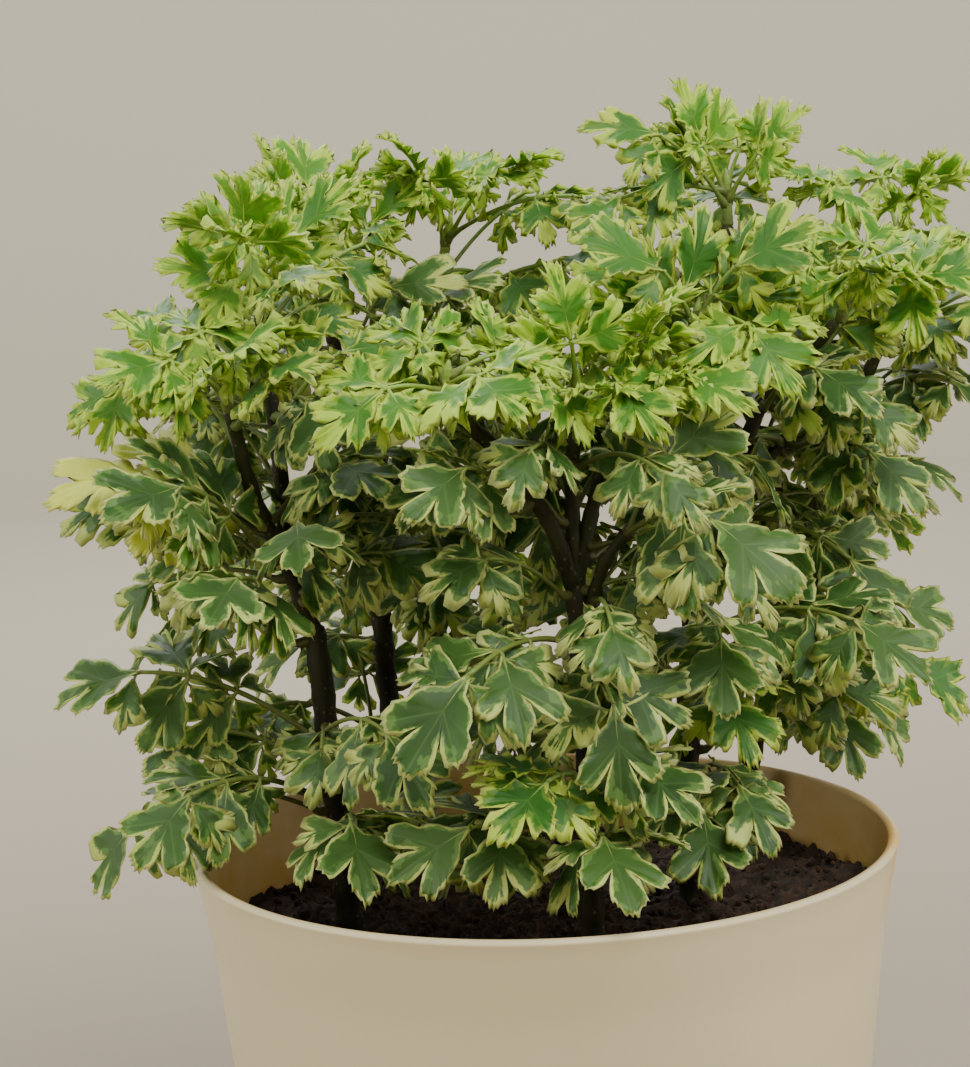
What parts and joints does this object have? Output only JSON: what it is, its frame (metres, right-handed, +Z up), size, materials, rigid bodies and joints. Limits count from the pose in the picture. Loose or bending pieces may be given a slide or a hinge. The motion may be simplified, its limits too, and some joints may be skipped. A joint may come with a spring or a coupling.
{
  "type": "potted aralia",
  "caption": "Bushy potted aralia: a plain tapered cream pot, dark soil, thin woody stems and lobed leaflets edged in cream, with lime young growth.",
  "frame": {"origin": "middle of the pot's underside, on the plane that it stands on", "axes": "+Z up; the side that faces the picture's viewer looks towards -Y; +X to that viewer's right"},
  "size_m": [0.2072, 0.1725, 0.2877],
  "materials": {
    "pot_plastic": "satin moulded",
    "potting_soil": "crumbly, matte",
    "woody_stem": "smooth bark",
    "leaf_mature": "waxy",
    "leaf_fresh": "waxy",
    "leaf_young": "waxy",
    "leaf_cream": "waxy"
  },
  "bodies": {
    "root": {"pot": "pot_plastic", "soil": "potting_soil", "left_stem": "woody_stem", "centre_stem": "woody_stem", "right_stem": "woody_stem", "back_left_stem": "woody_stem", "back_right_stem": "woody_stem", "right_crown_1": "leaf_fresh", "centre_crown_1": "leaf_young", "centre_crown_2": "leaf_young", "centre_crown_3": "leaf_young", "left_crown_1": "leaf_young", "left_crown_2": "leaf_young", "right_crown_2": "leaf_fresh", "right_crown_3": "leaf_young", "back_right_crown_1": "leaf_young", "back_left_crown_1": "leaf_young", "back_left_crown_2": "leaf_young", "back_right_crown_2": "leaf_young", "centre_leaf_1": "leaf_mature", "centre_leaf_2": "leaf_mature", "left_leaf_1": "leaf_cream", "left_leaf_2": "leaf_mature", "right_leaf_1": "leaf_mature", "right_leaf_2": "leaf_mature", "right_leaf_3": "leaf_mature", "centre_leaf_3": "leaf_fresh", "centre_leaf_4": "leaf_mature", "left_leaf_3": "leaf_mature", "left_leaf_4": "leaf_mature", "left_leaf_5": "leaf_mature", "left_leaf_6": "leaf_mature", "left_leaf_7": "leaf_mature", "left_leaf_8": "leaf_mature", "left_leaf_9": "leaf_mature", "left_leaf_10": "leaf_mature", "left_leaf_11": "leaf_fresh", "left_leaf_12": "leaf_fresh", "centre_leaf_5": "leaf_mature", "centre_leaf_6": "leaf_mature", "right_leaf_4": "leaf_mature", "right_leaf_5": "leaf_fresh", "right_leaf_6": "leaf_mature", "right_leaf_7": "leaf_mature", "right_leaf_8": "leaf_mature", "right_leaf_9": "leaf_fresh", "right_leaf_10": "leaf_fresh", "back_right_leaf_1": "leaf_mature", "back_right_leaf_2": "leaf_mature", "back_right_leaf_3": "leaf_mature", "back_right_leaf_4": "leaf_mature", "back_right_leaf_5": "leaf_mature", "back_left_leaf_1": "leaf_mature", "back_left_leaf_2": "leaf_mature", "back_left_leaf_3": "leaf_mature", "back_left_leaf_4": "leaf_mature", "back_left_leaf_5": "leaf_mature", "back_left_leaf_6": "leaf_mature", "back_left_leaf_7": "leaf_fresh"}
  },
  "joints": []
}
